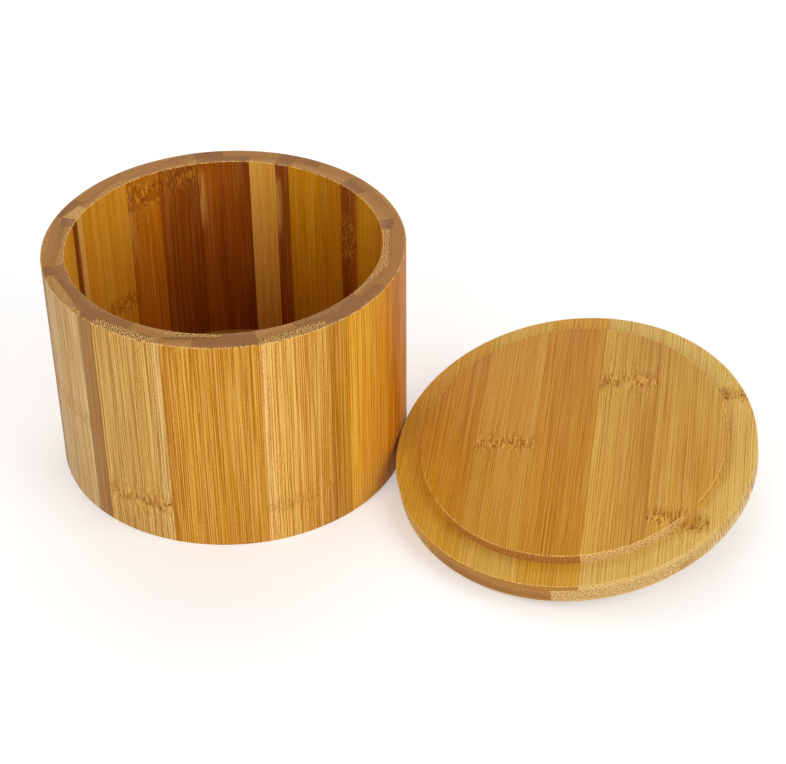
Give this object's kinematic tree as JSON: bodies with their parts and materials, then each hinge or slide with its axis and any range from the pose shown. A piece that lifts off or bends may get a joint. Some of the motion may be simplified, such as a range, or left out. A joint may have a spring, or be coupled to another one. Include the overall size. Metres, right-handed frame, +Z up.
{
  "type": "round salt box with lift-off lid",
  "caption": "Round laminated bamboo salt box: a ring of staves with a strip floor, and a loose plug lid with a turned knob, lying upside down beside it.",
  "frame": {"origin": "centre of the box's flat underside", "axes": "+Z up, out of the box's mouth; +X towards the side where the lid lies, and -Y towards the front"},
  "size_m": [0.2446, 0.1561, 0.0825],
  "materials": {
    "bamboo_outer_layer": "satin oiled bamboo",
    "bamboo_inner_layer": "satin oiled bamboo",
    "bamboo_floor": "satin oiled bamboo",
    "bamboo_plug_layer": "satin oiled bamboo",
    "bamboo_cover_layer": "satin oiled bamboo",
    "bamboo_knob": "satin oiled bamboo"
  },
  "bodies": {
    "box": {"floor_left_strip": "bamboo_floor", "floor_right_strip": "bamboo_floor", "floor_strip_1": "bamboo_floor", "floor_strip_2": "bamboo_floor", "floor_strip_3": "bamboo_floor", "floor_strip_4": "bamboo_floor", "stave_01_inner": "bamboo_inner_layer", "stave_01_outer": "bamboo_outer_layer", "stave_02_inner": "bamboo_inner_layer", "stave_02_outer": "bamboo_outer_layer", "stave_03_inner": "bamboo_inner_layer", "stave_03_outer": "bamboo_outer_layer", "stave_04_inner": "bamboo_inner_layer", "stave_04_outer": "bamboo_outer_layer", "stave_05_inner": "bamboo_inner_layer", "stave_05_outer": "bamboo_outer_layer", "stave_06_inner": "bamboo_inner_layer", "stave_06_outer": "bamboo_outer_layer", "stave_07_inner": "bamboo_inner_layer", "stave_07_outer": "bamboo_outer_layer", "stave_08_inner": "bamboo_inner_layer", "stave_08_outer": "bamboo_outer_layer", "stave_09_inner": "bamboo_inner_layer", "stave_09_outer": "bamboo_outer_layer", "stave_10_inner": "bamboo_inner_layer", "stave_10_outer": "bamboo_outer_layer", "stave_11_inner": "bamboo_inner_layer", "stave_11_outer": "bamboo_outer_layer", "stave_12_inner": "bamboo_inner_layer", "stave_12_outer": "bamboo_outer_layer"},
    "lid": {"lid_cover_left_strip": "bamboo_cover_layer", "lid_cover_right_strip": "bamboo_cover_layer", "lid_cover_strip_1": "bamboo_cover_layer", "lid_cover_strip_2": "bamboo_cover_layer", "lid_cover_strip_3": "bamboo_cover_layer", "lid_cover_strip_4": "bamboo_cover_layer", "lid_cover_strip_5": "bamboo_cover_layer", "lid_knob": "bamboo_knob", "lid_plug_left_strip": "bamboo_plug_layer", "lid_plug_right_strip": "bamboo_plug_layer", "lid_plug_strip_1": "bamboo_plug_layer", "lid_plug_strip_2": "bamboo_plug_layer", "lid_plug_strip_3": "bamboo_plug_layer", "lid_plug_strip_4": "bamboo_plug_layer", "lid_plug_strip_5": "bamboo_plug_layer"}
  },
  "joints": [
    {"name": "lid_lift", "type": "slide", "parent": "box", "child": "lid", "axis": [0, 0, 1], "range_m": [0, 0.1]}
  ]
}
